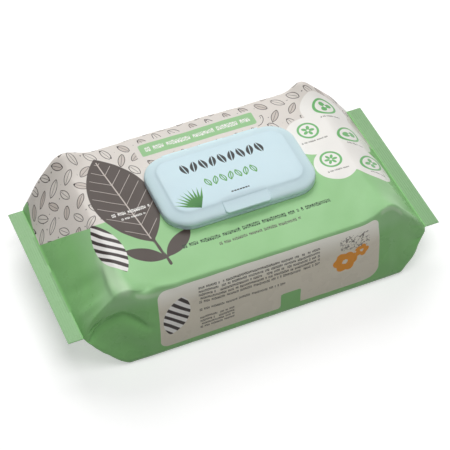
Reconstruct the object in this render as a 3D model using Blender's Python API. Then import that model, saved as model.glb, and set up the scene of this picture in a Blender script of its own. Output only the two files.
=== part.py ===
"""Wet wipes pack: a printed film pouch with tucked and sealed ends, the stack of folded wipes that
fills it, and a moulded flip-top lid over the dispensing window.

Metres. +X runs along the pack towards its right-hand seal, -Y is the long side that faces the
viewer, and +Z is up. The origin is on the ground under the middle of the pack.
"""

import math
from collections import namedtuple

import bmesh
import bpy
import numpy as np

# Clearance between pieces that touch
FIT = 0.0003

# Stack of folded wipes
STACK_LENGTH = 0.152
STACK_WIDTH = 0.104
STACK_HEIGHT = 0.0484
STACK_FOLD_REACH = 0.009  # roundness of the folded long edges
STACK_TOP_STEP = 0.0005  # the top wipe's free edge stands this proud
STACK_TOP_EDGE = 0.006  # where that edge lies, from the middle of the stack

# Film of the pouch
FILM = 0.0006
SIDE_SLACK = 0.0074  # the long sides belly out this far from the stack
TOP_SLACK = 0.0029  # the same, at the upper edges
EAR_TUCK = 0.004  # the upper edges draw in this much towards the seals
SHOULDER = 0.017  # width of the band along each upper edge that rises into the ears
EDGE_REACH = 0.005  # roundness of the upper edges
FOOT_REACH = 0.005  # roundness of the lower edges
BELLY_REACH = 0.0255  # roundness of the fullest part of the sides
BELLY_SHARE = 0.46  # height of that part, as a share of the pack's height
WIDTH_POWER = 0.5  # below 1, the sides reach their full width sooner than the foot comes down
INSIDE_START = 0.003  # the pouch is hollow from this far in from each seal
END_SPAN = 0.044  # each end is shaped within this distance of its seal
END_STEPS = 15  # how many loops shape an end, and how many the straight run between
MIDDLE_STEPS = 7

# End seals
SEAL_WIDTH = 0.100
SEAL_SHIFT_Y = -0.002  # the seals lie this far off the middle of the pack
SEAL_FLANGE = 0.0087
SEAL_THICKNESS = 0.0010

# Seam along the underside: a fin folded flat in a shallow trough
TROUGH_HALF = 0.010
TROUGH_DEPTH = 0.0006
FIN_THICKNESS = 0.0004
FIN_WIDTH = 0.0098
FIN_ROOT = 0.001  # the fin's root lies this far in front of the middle
SEALED_SHARE = 0.15  # how much of the trough is left where the ends are sealed

# How the film comes away from each end seal. Runs are distances from the seal; powers say how full
# the curve is, 1 for a straight slope. The ears are the puffed corners at the ends of the upper
# edges: each has its distance from the seal, its height and its spread.
Ear = namedtuple("Ear", "at height spread")
End = namedtuple(
    "End",
    "reach top_run top_power edge_run edge_power foot_run foot_power "
    "tuck_depth tuck_run front_ear back_ear",
)
LEFT_END = End(
    reach=0.0283,
    top_run=0.027,
    top_power=1.25,
    edge_run=0.023,
    edge_power=2.1,
    foot_run=0.023,
    foot_power=1.35,
    tuck_depth=0.006,
    tuck_run=0.034,
    front_ear=Ear(0.024, 0.005, 0.008),
    back_ear=Ear(0.027, 0.007, 0.010),
)
RIGHT_END = End(
    reach=0.0223,
    top_run=0.032,
    top_power=1.5,
    edge_run=0.025,
    edge_power=1.75,
    foot_run=0.017,
    foot_power=1.2,
    tuck_depth=0.0025,
    tuck_run=0.026,
    front_ear=Ear(0.0265, 0.0065, 0.009),
    back_ear=Ear(0.029, 0.007, 0.007),
)

# Dispensing window, die-cut in the film
WINDOW_LENGTH = 0.060
WINDOW_WIDTH = 0.025

# Lid and its frame
LID_LENGTH = 0.090
LID_WIDTH = 0.054
LID_CORNER = 0.015
LID_SHIFT_X = 0.006
LID_SHIFT_Y = 0.0025
LID_HEIGHT = 0.0056
LID_SLOPE = 0.0048  # how far the sides lean in between the rim and the top panel
LID_WALL = 0.0013
LID_CROWN = 0.0004
BASE_PLATE = 0.0016
BASE_CHAMFER = 0.0005
OPENING_LENGTH = 0.070
OPENING_WIDTH = 0.033
OPENING_CORNER = 0.0155
COLLAR_WALL = 0.0012
COLLAR_HEIGHT = 0.0020
SKIRT_WALL = 0.0010
SKIRT_FIT = 0.0004
BOND_INSET = 0.0035  # from the frame's outline to the adhesive ring
BOND_WIDTH = 0.0050
BOND_THICKNESS = 0.0005

# Thumb tab, catch and hinge
TAB_WIDTH = 0.027
TAB_PROUD = 0.0007
TAB_THICKNESS = 0.0017
TAB_CORNER = 0.0022
TAB_SOFTNESS = 0.0004
CATCH_WIDTH = 0.012
CATCH_DEPTH = 0.0012
CATCH_HEIGHT = 0.0016
HINGE_REACH = 0.0016  # from the lid's rim back to the hinge axis
HINGE_LIP = 0.0010  # the frame's lip goes on this far past the axis
HINGE_SPAN = 0.058
STRAP_COUNT = 3
STRAP_WIDTH = 0.015
STRAP_THICKNESS = 0.0007

# Worked out from the sizes above
STACK_BASE = FILM + TROUGH_DEPTH + FIT
STACK_TOP = STACK_BASE + STACK_HEIGHT
PACK_TOP = STACK_TOP + FIT + FILM
SEAL_Z = PACK_TOP / 2
SEAL_HALF = SEAL_THICKNESS / 2
BELLY = STACK_WIDTH / 2 + SIDE_SLACK + FILM
EDGE = STACK_WIDTH / 2 + TOP_SLACK + FILM
SEALS_APART = LEFT_END.reach + STACK_LENGTH + RIGHT_END.reach
LEFT_SEAL_X = -SEALS_APART / 2
RIGHT_SEAL_X = SEALS_APART / 2
STACK_X = LEFT_SEAL_X + LEFT_END.reach + STACK_LENGTH / 2
BASE_Z = PACK_TOP + FIT
BASE_TOP = BASE_Z + BASE_PLATE
BOND_GROOVE = BOND_THICKNESS + FIT
RIM_Z = BASE_TOP + FIT
LID_TOP = RIM_Z + LID_HEIGHT
LID_BACK = LID_SHIFT_Y + LID_WIDTH / 2
LID_FRONT = LID_SHIFT_Y - LID_WIDTH / 2
HINGE_Y = LID_BACK + HINGE_REACH


def clear_scene():
    for obj in list(bpy.data.objects):
        bpy.data.objects.remove(obj, do_unlink=True)


def material(name, colour, roughness, metallic=0.0):
    made = bpy.data.materials.new(name)
    made.use_nodes = True
    shader = made.node_tree.nodes["Principled BSDF"]
    shader.inputs["Base Color"].default_value = (*colour, 1.0)
    shader.inputs["Roughness"].default_value = roughness
    shader.inputs["Metallic"].default_value = metallic
    made.diffuse_color = (*colour, 1.0)
    return made


def add_object(name, bm, finish=None, smooth_degrees=35):
    """The bmesh as an object, with its faces turned outwards."""
    bmesh.ops.recalc_face_normals(bm, faces=bm.faces)
    mesh = bpy.data.meshes.new(name)
    bm.to_mesh(mesh)
    bm.free()
    mesh.shade_smooth()
    mesh.set_sharp_from_angle(angle=math.radians(smooth_degrees))
    obj = bpy.data.objects.new(name, mesh)
    bpy.context.scene.collection.objects.link(obj)
    if finish:
        mesh.materials.append(finish)
    return obj


def helper(name, bm):
    """A cutter or a shape to join: drawn as wires and left out of a render."""
    obj = add_object(name, bm)
    obj.hide_render = True
    obj.display_type = "WIRE"
    return obj


def boolean(obj, other, operation):
    modifier = obj.modifiers.new(f"{operation.lower()} {other.name}", "BOOLEAN")
    modifier.operation = operation
    modifier.solver = "EXACT"
    modifier.object = other


def loft(bm, loops, capped=True, closed=False):
    """Skins closed loops of equally many points. Capped closes both ends, closed joins them."""
    rings = [[bm.verts.new(point) for point in loop] for loop in loops]
    pairs = list(zip(rings, rings[1:]))
    if closed:
        pairs.append((rings[-1], rings[0]))
    for low, high in pairs:
        count = len(low)
        for i in range(count):
            bm.faces.new((low[i], low[(i + 1) % count], high[(i + 1) % count], high[i]))
    if capped and not closed:
        bm.faces.new(rings[0])
        bm.faces.new(rings[-1])
    return rings


def rounded_loop(length, width, corner, z, centre, corner_steps=7):
    """Points round a rectangle with round corners, level at height z."""
    points = []
    for quarter, (sx, sy) in enumerate(((1, 1), (-1, 1), (-1, -1), (1, -1))):
        mid = (centre[0] + sx * (length / 2 - corner), centre[1] + sy * (width / 2 - corner))
        for step in range(corner_steps + 1):
            angle = math.pi / 2 * (quarter + step / corner_steps)
            points.append((mid[0] + corner * math.cos(angle), mid[1] + corner * math.sin(angle), z))
    return points


def block(bm, low, high):
    """A box between two corners."""
    loops = []
    for z in (low[2], high[2]):
        loops.append(
            [(low[0], low[1], z), (high[0], low[1], z), (high[0], high[1], z), (low[0], high[1], z)]
        )
    loft(bm, loops)


def ease(share, power):
    """0 to 1 as share goes from 0 to 1: steep at first, level at the end."""
    return 1 - (1 - min(max(share, 0.0), 1.0)) ** power


def bump(distance, spread):
    return math.exp(-((distance / spread) ** 2))


def film_lines(x, side):
    """Places of the lines that run along one side of the film, at x: the pouch is shaped by these.
    Side is 1 at the back and -1 at the front."""
    left = x - LEFT_SEAL_X
    right = RIGHT_SEAL_X - x

    def rise(run, power):
        return ease(left / getattr(LEFT_END, run), getattr(LEFT_END, power)) * ease(
            right / getattr(RIGHT_END, run), getattr(RIGHT_END, power)
        )

    top = rise("top_run", "top_power")
    edge = rise("edge_run", "edge_power")
    foot = rise("foot_run", "foot_power")
    ears = 0.0
    for end, gone in ((LEFT_END, left), (RIGHT_END, right)):
        ear = end.back_ear if side > 0 else end.front_ear
        ears += ear.height * bump(gone - ear.at, ear.spread)
    tuck = sum(
        end.tuck_depth * 4 * share * (1 - share)
        for end, share in ((LEFT_END, left / LEFT_END.tuck_run), (RIGHT_END, right / RIGHT_END.tuck_run))
        if 0 < share < 1
    )
    half = SEAL_WIDTH / 2 + side * SEAL_SHIFT_Y
    wide = foot**WIDTH_POWER
    drawn_in = EAR_TUCK * (bump(left, LEFT_END.tuck_run) + bump(right, RIGHT_END.tuck_run))
    low_z = SEAL_Z - SEAL_HALF
    return {
        "top_z": SEAL_Z + SEAL_HALF + (PACK_TOP - SEAL_Z - SEAL_HALF) * top,
        "edge_y": half + (EDGE - half) * edge - drawn_in * edge,
        "edge_z": SEAL_Z + SEAL_HALF + (PACK_TOP - SEAL_Z - SEAL_HALF) * edge + ears * edge,
        "belly_y": half + (BELLY - half) * wide - tuck,
        "belly_z": SEAL_Z + (PACK_TOP * BELLY_SHARE - SEAL_Z) * foot,
        "foot_y": half + (BELLY - half) * wide,
        "foot_z": low_z * (1 - foot),
        "trough": TROUGH_DEPTH * (SEALED_SHARE + (1 - SEALED_SHARE) * foot),
    }


def rounded_path(corners):
    """Points along straight runs. A corner (y, z, reach, steps) is cut to a curve of steps + 1
    points that starts and ends at reach from it, or nearer where a run is short."""
    points = [corners[0][:2]]
    for before, corner, after in zip(corners, corners[1:], corners[2:]):
        here = np.array(corner[:2])
        reach, steps = corner[2:]
        if not steps:
            points.append(tuple(here))
            continue
        ends = []
        for other in (before, after):
            run = np.array(other[:2]) - here
            length = np.linalg.norm(run)
            ends.append(here + run / length * min(reach, 0.45 * length))
        for t in np.linspace(0, 1, steps + 1):
            points.append(tuple((1 - t) ** 2 * ends[0] + 2 * t * (1 - t) * here + t * t * ends[1]))
    points.append(corners[-1][:2])
    return points


def half_section(x, side, inset=0.0):
    """(y, z) points down one side of the film at x, from the middle of the top to the middle of
    the bottom. With an inset it is the film's inner face, without the seam's fin."""
    at = film_lines(x, side)
    top = at["top_z"] - inset
    foot = at["foot_z"] + inset
    trough = foot + at["trough"]
    corners = [
        (0.0, top),
        (at["edge_y"] - SHOULDER, top, SHOULDER / 2, 3),
        (at["edge_y"] - inset, at["edge_z"] - inset, EDGE_REACH, 5),
        (at["belly_y"] - inset, at["belly_z"], BELLY_REACH, 5),
        (at["foot_y"] - inset, foot, FOOT_REACH, 4),
        (TROUGH_HALF, foot, 0, 0),
        (TROUGH_HALF - TROUGH_DEPTH, trough, 0, 0),
    ]
    if inset:
        corners.append((0.0, trough))
    else:
        fin_edge = FIN_WIDTH - FIN_ROOT if side > 0 else FIN_ROOT
        fin_z = trough - FIN_THICKNESS * at["trough"] / TROUGH_DEPTH
        corners += [(fin_edge, trough, 0, 0), (fin_edge, fin_z, 0, 0), (0.0, fin_z)]
    return [(side * y, z) for y, z in rounded_path(corners)]


def film_loop(x, inset=0.0):
    """Closed loop of points round the film at x."""
    down = half_section(x, 1, inset)
    up = half_section(x, -1, inset)[1:-1]
    return [(x, y, z) for y, z in down + up[::-1]]


def stations(start=0.0):
    """Where the film's loops stand: close together near the seals, wide apart between."""
    left = LEFT_SEAL_X + np.linspace(start, END_SPAN, END_STEPS)
    right = RIGHT_SEAL_X - np.linspace(start, END_SPAN, END_STEPS)
    middle = np.linspace(left[-1], right[-1], MIDDLE_STEPS)[1:-1]
    return [*left, *middle, *right[::-1]]


def make_pouch(finish):
    outer = [film_loop(x) for x in stations()]
    flange_left = [(x - SEAL_FLANGE, y, z) for x, y, z in outer[0]]
    flange_right = [(x + SEAL_FLANGE, y, z) for x, y, z in outer[-1]]
    bm = bmesh.new()
    loft(bm, [flange_left, *outer, flange_right])
    pouch = add_object("pouch_film", bm, finish)

    bm = bmesh.new()
    loft(bm, [film_loop(x, FILM) for x in stations(INSIDE_START)])
    boolean(pouch, helper("pouch_inside", bm), "DIFFERENCE")

    centre = (LID_SHIFT_X, LID_SHIFT_Y)
    window = [
        rounded_loop(WINDOW_LENGTH, WINDOW_WIDTH, WINDOW_WIDTH / 2 - FIT, z, centre)
        for z in (STACK_TOP - FILM, BASE_TOP)
    ]
    bm = bmesh.new()
    loft(bm, window)
    boolean(pouch, helper("window_cutter", bm), "DIFFERENCE")
    return pouch


def make_stack(finish):
    """The wipes as one block, folded along both long sides, with the top wipe's free edge showing.
    Where the film comes down towards the seals it presses the block's upper edge round."""
    half = STACK_WIDTH / 2
    reach = STACK_FOLD_REACH
    start = STACK_X - STACK_LENGTH / 2
    end = STACK_X + STACK_LENGTH / 2
    bm = bmesh.new()
    loops = []
    for x in [*np.linspace(start, start + reach, 4), *np.linspace(end - 2 * reach, end, 7)]:
        top = min(STACK_TOP, film_lines(x, 1)["top_z"] - FILM - 2 * FIT)
        section = rounded_path(
            [
                (STACK_TOP_EDGE, top),
                (-half, top, reach, 5),
                (-half, STACK_BASE, reach, 5),
                (half, STACK_BASE, reach, 5),
                (half, top - STACK_TOP_STEP, reach, 5),
                (STACK_TOP_EDGE, top - STACK_TOP_STEP),
            ]
        )
        loops.append([(x, y, z) for y, z in section])
    loft(bm, loops)
    return add_object("wipes_stack", bm, finish)


def lid_loop(inset, z, shape=(LID_LENGTH, LID_WIDTH, LID_CORNER)):
    """A loop round the lid's outline, or another centred on it, drawn in by inset."""
    length, width, corner = shape
    return rounded_loop(
        length - 2 * inset,
        width - 2 * inset,
        max(corner - inset, corner / 4),
        z,
        (LID_SHIFT_X, LID_SHIFT_Y),
    )


OPENING = (OPENING_LENGTH, OPENING_WIDTH, OPENING_CORNER)


def make_base(finish):
    """The frame: a plate with a sealing collar round its opening and a groove below for the bond."""
    bm = bmesh.new()
    profile = [
        lid_loop(0, BASE_Z),
        lid_loop(0, BASE_TOP - BASE_CHAMFER),
        lid_loop(BASE_CHAMFER, BASE_TOP),
        lid_loop(-COLLAR_WALL, BASE_TOP, OPENING),
        lid_loop(-COLLAR_WALL, BASE_TOP + COLLAR_HEIGHT, OPENING),
        lid_loop(0, BASE_TOP + COLLAR_HEIGHT, OPENING),
        lid_loop(0, BASE_Z, OPENING),
        lid_loop(BOND_INSET + BOND_WIDTH + FIT, BASE_Z),
        lid_loop(BOND_INSET + BOND_WIDTH + FIT, BASE_Z + BOND_GROOVE),
        lid_loop(BOND_INSET - FIT, BASE_Z + BOND_GROOVE),
        lid_loop(BOND_INSET - FIT, BASE_Z),
    ]
    loft(bm, profile, closed=True)
    base = add_object("lid_base", bm, finish)

    bm = bmesh.new()
    block(
        bm,
        (LID_SHIFT_X - HINGE_SPAN / 2, LID_BACK - BOND_INSET / 2, BASE_Z + FIT),
        (LID_SHIFT_X + HINGE_SPAN / 2, HINGE_Y + HINGE_LIP, BASE_TOP - FIT),
    )
    boolean(base, helper("hinge_lip", bm), "UNION")

    catch_y = LID_FRONT + LID_WALL + 3 * FIT
    bm = bmesh.new()
    block(
        bm,
        (LID_SHIFT_X - CATCH_WIDTH / 2, catch_y, BASE_TOP - BASE_CHAMFER),
        (LID_SHIFT_X + CATCH_WIDTH / 2, catch_y + CATCH_DEPTH, BASE_TOP + CATCH_HEIGHT),
    )
    boolean(base, helper("front_catch", bm), "UNION")
    return base


def make_bond(finish):
    bm = bmesh.new()
    low = BASE_Z
    high = low + BOND_THICKNESS
    inner = BOND_INSET + BOND_WIDTH
    loft(
        bm,
        [lid_loop(BOND_INSET, low), lid_loop(BOND_INSET, high), lid_loop(inner, high), lid_loop(inner, low)],
        closed=True,
    )
    return add_object("bond_ring", bm, finish)


def lid_side(share):
    """(inset, height above the rim) of the lid's outer side, from its rim to its top panel."""
    angle = share * math.pi / 2
    return LID_SLOPE * (1 - math.cos(angle)), (LID_HEIGHT - LID_CROWN) * math.sin(angle)


def make_lid(finish):
    """The moulded lid: a shallow shell with a sealing skirt inside that fits round the collar."""
    skirt_in = COLLAR_WALL + SKIRT_FIT
    ceiling = LID_TOP - LID_WALL
    outside = [lid_loop(inset, RIM_Z + height) for inset, height in map(lid_side, np.linspace(0, 1, 6))]
    outside.append(lid_loop(LID_SLOPE + LID_CORNER / 2, LID_TOP))
    inside = [
        lid_loop(inset + LID_WALL, RIM_Z + height)
        for inset, height in map(lid_side, np.linspace(0, 0.6, 4))
    ]
    skirt = [
        lid_loop(LID_SLOPE + LID_WALL, ceiling),
        lid_loop(-skirt_in - SKIRT_WALL, ceiling, OPENING),
        lid_loop(-skirt_in - SKIRT_WALL, BASE_TOP + FIT, OPENING),
        lid_loop(-skirt_in, BASE_TOP + FIT, OPENING),
        lid_loop(-skirt_in, ceiling, OPENING),
    ]
    bm = bmesh.new()
    loft(bm, [*outside[::-1], *inside, *skirt])
    lid = add_object("flip_lid", bm, finish)

    tab_back = LID_FRONT + LID_SLOPE + LID_WALL + TAB_CORNER
    tab_depth = tab_back - (LID_FRONT - TAB_PROUD)
    tab_top = LID_TOP - LID_CROWN
    tab_bottom = tab_top - TAB_THICKNESS
    centre = (LID_SHIFT_X, tab_back - tab_depth / 2)
    bm = bmesh.new()
    loft(
        bm,
        [
            rounded_loop(TAB_WIDTH - 2 * inset, tab_depth - 2 * inset, TAB_CORNER, z, centre)
            for inset, z in (
                (TAB_SOFTNESS, tab_bottom),
                (0, tab_bottom + TAB_SOFTNESS),
                (0, tab_top - TAB_SOFTNESS),
                (TAB_SOFTNESS, tab_top),
            )
        ],
    )
    boolean(lid, helper("thumb_tab", bm), "UNION")

    pitch = (HINGE_SPAN - STRAP_WIDTH) / (STRAP_COUNT - 1)
    for i in range(STRAP_COUNT):
        mid = LID_SHIFT_X + (i - (STRAP_COUNT - 1) / 2) * pitch
        bm = bmesh.new()
        block(
            bm,
            (mid - STRAP_WIDTH / 2, LID_BACK - LID_WALL / 2, RIM_Z + FIT / 2),
            (mid + STRAP_WIDTH / 2, HINGE_Y, RIM_Z + FIT / 2 + STRAP_THICKNESS),
        )
        boolean(lid, helper(f"hinge_strap_{i + 1}", bm), "UNION")
    return lid


def main():
    clear_scene()
    make_pouch(material("printed film", (0.33, 0.60, 0.31), 0.35))
    make_stack(material("wet nonwoven", (0.90, 0.91, 0.90), 0.75))
    pale_blue = material("pale blue polypropylene", (0.63, 0.79, 0.86), 0.3)
    make_base(pale_blue)
    make_bond(material("hot melt", (0.85, 0.82, 0.70), 0.5))
    make_lid(pale_blue)


main()
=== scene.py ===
"""Looks of the wet wipes pack: the printed film with its folds and creases, the moulded lid with
its small print, the wipes under the dispensing window, the floor, the light and the camera.

Lengths here are in millimetres, in the frame's own axes: +X along the pack towards its right-hand
seal, -Y towards the long side that the camera sees, +Z up.
"""

import math

import bmesh
import bpy
import numpy as np
from mathutils import Matrix, Vector


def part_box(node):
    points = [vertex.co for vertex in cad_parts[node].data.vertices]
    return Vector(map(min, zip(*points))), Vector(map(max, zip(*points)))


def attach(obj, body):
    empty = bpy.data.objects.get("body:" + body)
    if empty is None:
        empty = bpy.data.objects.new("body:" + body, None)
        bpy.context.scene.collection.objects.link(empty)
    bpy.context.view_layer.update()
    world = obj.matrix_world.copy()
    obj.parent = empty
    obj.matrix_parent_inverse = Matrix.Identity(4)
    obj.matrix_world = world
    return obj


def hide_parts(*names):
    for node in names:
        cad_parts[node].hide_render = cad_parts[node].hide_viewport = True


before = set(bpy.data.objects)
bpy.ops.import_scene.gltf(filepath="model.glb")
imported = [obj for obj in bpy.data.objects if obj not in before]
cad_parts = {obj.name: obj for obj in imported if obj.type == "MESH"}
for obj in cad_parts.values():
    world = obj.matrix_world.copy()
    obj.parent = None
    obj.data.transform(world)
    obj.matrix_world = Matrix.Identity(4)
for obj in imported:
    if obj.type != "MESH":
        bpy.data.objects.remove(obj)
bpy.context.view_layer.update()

MM = 0.001


def box_mm(node):
    low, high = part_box(node)
    return np.array(low) / MM, np.array(high) / MM


# Sizes taken from the frame
POUCH_LOW, POUCH_HIGH = box_mm("pouch_film")
LID_LOW, LID_HIGH = box_mm("flip_lid")
BASE_LOW = box_mm("lid_base")[0]
STACK_HIGH = box_mm("wipes_stack")[1]

FIT = 0.3  # between pieces
SOLID_FILM = 0.6  # the film in the part's source
FILM = 0.16  # the film as it is drawn here
SEAL_HALF = 0.28

# Lines of the pouch, as in the part's source
SEAL_WIDTH = 100.0
SEAL_SHIFT = -2.0  # the seals' middle lies this far from the body's
SEAL_FLANGE = 8.7
CRIMP_PITCH = 1.3
EAR_TUCK = 4.0
SHOULDER = 17.0
EDGE_REACH = (5.0, 5.0)  # of the curve before and after the back's upper edge
FRONT_REACH = (2.5, 9.0)  # the front's upper edge is rounded further down
FOOT_REACH = 5.0
BELLY_REACH = 25.5
BELLY_SHARE = 0.46
WIDTH_POWER = 0.5
TOP_SLACK = 2.9
TROUGH_HALF = 10.0
TROUGH_DEPTH = 0.6
FIN_THICKNESS = 0.4
FIN_WIDTH = 9.8
FIN_ROOT = 1.0
SEALED_SHARE = 0.15  # of the trough's depth that is left at the seals
PACK_TOP = BASE_LOW[2] - FIT
SEAL_Z = PACK_TOP / 2
BELLY = POUCH_HIGH[1]
EDGE = STACK_HIGH[1] + TOP_SLACK + SOLID_FILM
FRONT_SLACK = 1.8  # the front's upper edge lies this much further out than the back's
LEFT_SEAL_X = POUCH_LOW[0] + SEAL_FLANGE
RIGHT_SEAL_X = POUCH_HIGH[0] - SEAL_FLANGE
LEFT_END = {
    "top": (27.0, 1.25), "edge": (23.0, 2.1), "foot": (23.0, 1.35), "tuck": (6.0, 34.0),
    "front ear": (24.0, 5.0, 8.0), "back ear": (27.0, 7.0, 10.0),
}
RIGHT_END = {
    "top": (27.0, 1.55), "edge": (25.0, 1.75), "foot": (17.0, 1.2), "tuck": (2.5, 26.0),
    "front ear": (26.5, 6.5, 9.0), "back ear": (29.0, 7.0, 7.0),
}

# How finely the pouch is drawn
END_SPAN = 44.0
END_STEPS = 44
MIDDLE_STEPS = 78
FLANGE_STEPS = 4

# Lid, its frame and the dispensing window in the film
TAB_PROUD = 0.7
TAB_WIDTH = 27.0
TAB_THICKNESS = 1.7
TAB_CORNER = 2.2
HINGE_REACH = 1.6
HINGE_SPAN = 58.0
STRAP_COUNT = 3
STRAP_WIDTH = 15.0
STRAP_THICKNESS = 0.7
LID_CORNER = 15.0
LID_WALL = 1.3
LID_FRONT = LID_LOW[1] + TAB_PROUD
LID_BACK = LID_HIGH[1] - HINGE_REACH
LID_LENGTH = LID_HIGH[0] - LID_LOW[0]
LID_WIDTH = LID_BACK - LID_FRONT
LID_CENTRE = ((LID_LOW[0] + LID_HIGH[0]) / 2, (LID_FRONT + LID_BACK) / 2)
LID_TOP = LID_HIGH[2]
BASE_THICKNESS = 1.6
BASE_TOP = PACK_TOP + FIT + BASE_THICKNESS
RIM_Z = BASE_TOP + FIT
OPENING = (70.0, 33.0, 15.5)  # of the frame: length, width and corner
COLLAR_WALL = 1.2
SKIRT_FIT = 0.4
SKIRT_WALL = 1.0
WINDOW_LENGTH = 60.0
WINDOW_WIDTH = 25.0
WINDOW_RADIUS = WINDOW_WIDTH / 2
WINDOW_STRAIGHT = WINDOW_LENGTH / 2 - WINDOW_RADIUS  # half of its middle line

# Camera, solved from the eight corners of the two end seals in the photograph
CAMERA_AZIMUTH = math.radians(-23.19)
CAMERA_ELEVATION = math.radians(47.90)
CAMERA_DISTANCE = 978.0
CAMERA_SHIFT = (1.1, -3.5)  # along the picture's right and up
FOCAL_PIXELS = 1744.0
PICTURE_PIXELS = 450.0
SENSOR_WIDTH = 36.0
CLIP = (0.01, 20.0)  # metres


def srgb(*levels):
    """A colour as a screen shows it, 0 to 255, in the linear values that shaders use."""
    shares = (level / 255 for level in levels)
    return tuple(
        share / 12.92 if share <= 0.04045 else ((share + 0.055) / 1.055) ** 2.4 for share in shares
    )


def dimmed(colour, share):
    return tuple(share * value for value in colour)


# Colours of the film and of its print
FILM_GREEN = srgb(158, 207, 149)
# Painted shade: a deeper green for the film's sides, which lie out of the light
SHADED_SIDE_GREEN = srgb(138, 198, 124)
# A painted highlight on the fold crests, which also stands for the film's crease whitening
CREST_HIGHLIGHT_GREEN = srgb(212, 234, 204)
CREAM = srgb(227, 220, 213)
PALE_CREAM = srgb(246, 243, 238)
PANEL_CREAM = srgb(226, 219, 202)
PANEL_PAINTED_LIGHT = srgb(255, 253, 242)
INK = srgb(62, 54, 52)
DARK_BROWN = srgb(78, 68, 63)
TAUPE = srgb(206, 196, 188)
DEEP_GREEN = srgb(34, 62, 40)
BADGE_GREEN = srgb(112, 184, 112)
WHITE_INK = srgb(242, 240, 236)
ORANGE = srgb(232, 152, 48)
GREY_INK = srgb(120, 116, 110)
TYPE_GREY = srgb(96, 92, 84)

# Colours of the lid and its print
PLASTIC_BLUE = srgb(214, 239, 247)
PLASTIC_SHADE = srgb(208, 234, 244)
# Painted light: a paler blue for the lid's sloping sides
LID_SIDE_PAINTED_LIGHT = srgb(218, 245, 252)
LID_INK = srgb(26, 32, 34)
LEAF_GREEN = srgb(88, 160, 72)
FAN_GREEN = srgb(40, 112, 46)

# Colours of the wipes and of the hot melt
WIPE_WHITE = srgb(240, 242, 240)
WIPE_SHADE = srgb(222, 226, 224)
FOLD_PAINTED_SHADE = srgb(196, 202, 200)
MELT_LIGHT = srgb(236, 232, 214)
MELT_DARK = srgb(220, 212, 186)


def make_camera():
    azimuth, elevation = CAMERA_AZIMUTH, CAMERA_ELEVATION
    right = Vector((math.cos(azimuth), math.sin(azimuth), 0))
    back = Vector((
        math.sin(azimuth) * math.cos(elevation),
        -math.cos(azimuth) * math.cos(elevation),
        math.sin(elevation),
    ))
    up = back.cross(right)
    data = bpy.data.cameras.new("camera")
    data.sensor_width = SENSOR_WIDTH
    data.lens = SENSOR_WIDTH * FOCAL_PIXELS / PICTURE_PIXELS
    data.clip_start, data.clip_end = CLIP
    camera = bpy.data.objects.new("camera", data)
    bpy.context.scene.collection.objects.link(camera)
    middle = Vector((0, SEAL_SHIFT, SEAL_Z))
    place = middle + right * CAMERA_SHIFT[0] + up * CAMERA_SHIFT[1] + back * CAMERA_DISTANCE
    turn = Matrix((right, up, back)).transposed().to_4x4()
    camera.matrix_world = Matrix.Translation(place * MM) @ turn
    bpy.context.scene.camera = camera


def mesh_object(name, points, faces, attributes=None, smooth_degrees=40):
    """A mesh piece from points in millimetres. Attributes are arrays with a row for each point."""
    mesh = bpy.data.meshes.new(name)
    mesh.from_pydata((np.asarray(points) * MM).tolist(), [], faces)
    for key, values in (attributes or {}).items():
        values = np.asarray(values, np.float32)
        kind, slot = ("FLOAT_VECTOR", "vector") if values.ndim == 2 else ("FLOAT", "value")
        mesh.attributes.new(key, kind, "POINT").data.foreach_set(slot, values.ravel())
    mesh.validate()
    mesh.shade_smooth()
    mesh.set_sharp_from_angle(angle=math.radians(smooth_degrees))
    obj = bpy.data.objects.new(name, mesh)
    bpy.context.scene.collection.objects.link(obj)
    return obj


def face_outwards(obj, change=None):
    """Turns an object's faces outwards, then changes its mesh where asked."""
    bm = bmesh.new()
    bm.from_mesh(obj.data)
    bmesh.ops.recalc_face_normals(bm, faces=bm.faces)
    if change:
        change(bm)
    bm.to_mesh(obj.data)
    bm.free()


def tube_faces(rows, around, first=0):
    """Faces of a closed body through rows of equally many points, capped at both ends."""
    faces = []
    for i in range(rows - 1):
        low, high = first + i * around, first + (i + 1) * around
        for j in range(around):
            k = (j + 1) % around
            faces.append((low + j, low + k, high + k, high + j))
    faces.append(tuple(range(first, first + around))[::-1])
    faces.append(tuple(range(first + (rows - 1) * around, first + rows * around)))
    return faces


# Form of the pouch

def ease(share, power):
    """0 to 1 as share goes from 0 to 1: steep at first, level at the end."""
    return 1 - (1 - min(max(share, 0.0), 1.0)) ** power


def bump(distance, spread):
    return math.exp(-((distance / spread) ** 2))


def film_lines(x, side):
    """Places of the lines that run along one side of the film, at x. Side is 1 at the back."""
    ends = ((LEFT_END, x - LEFT_SEAL_X), (RIGHT_END, RIGHT_SEAL_X - x))

    def rise(line):
        return math.prod(ease(gone / end[line][0], end[line][1]) for end, gone in ends)

    top, edge, foot = rise("top"), rise("edge"), rise("foot")
    ears = tuck = 0.0
    for end, gone in ends:
        at, height, spread = end["back ear" if side > 0 else "front ear"]
        ears += height * bump(gone - at, spread)
        depth, run = end["tuck"]
        if 0 < gone < run:
            tuck += depth * 4 * gone / run * (1 - gone / run)
    half = SEAL_WIDTH / 2 + side * SEAL_SHIFT
    wide = foot**WIDTH_POWER
    drawn_in = EAR_TUCK * sum(bump(gone, end["tuck"][1]) for end, gone in ends)
    height = PACK_TOP - SEAL_Z - SEAL_HALF
    return {
        "top_z": SEAL_Z + SEAL_HALF + height * top,
        "edge_y": half + (EDGE + (FRONT_SLACK if side < 0 else 0) - half) * edge - drawn_in * edge,
        "edge_z": SEAL_Z + SEAL_HALF + height * edge + ears * edge,
        "belly_y": half + (BELLY - half) * wide - tuck,
        "belly_z": SEAL_Z + (PACK_TOP * BELLY_SHARE - SEAL_Z) * foot,
        "foot_y": half + (BELLY - half) * wide,
        "foot_z": (SEAL_Z - SEAL_HALF) * (1 - foot),
        "trough": TROUGH_DEPTH * (SEALED_SHARE + (1 - SEALED_SHARE) * foot),
    }


CURVE_LIMIT = 0.45  # share of a straight run that the curve at one end of it may take


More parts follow.
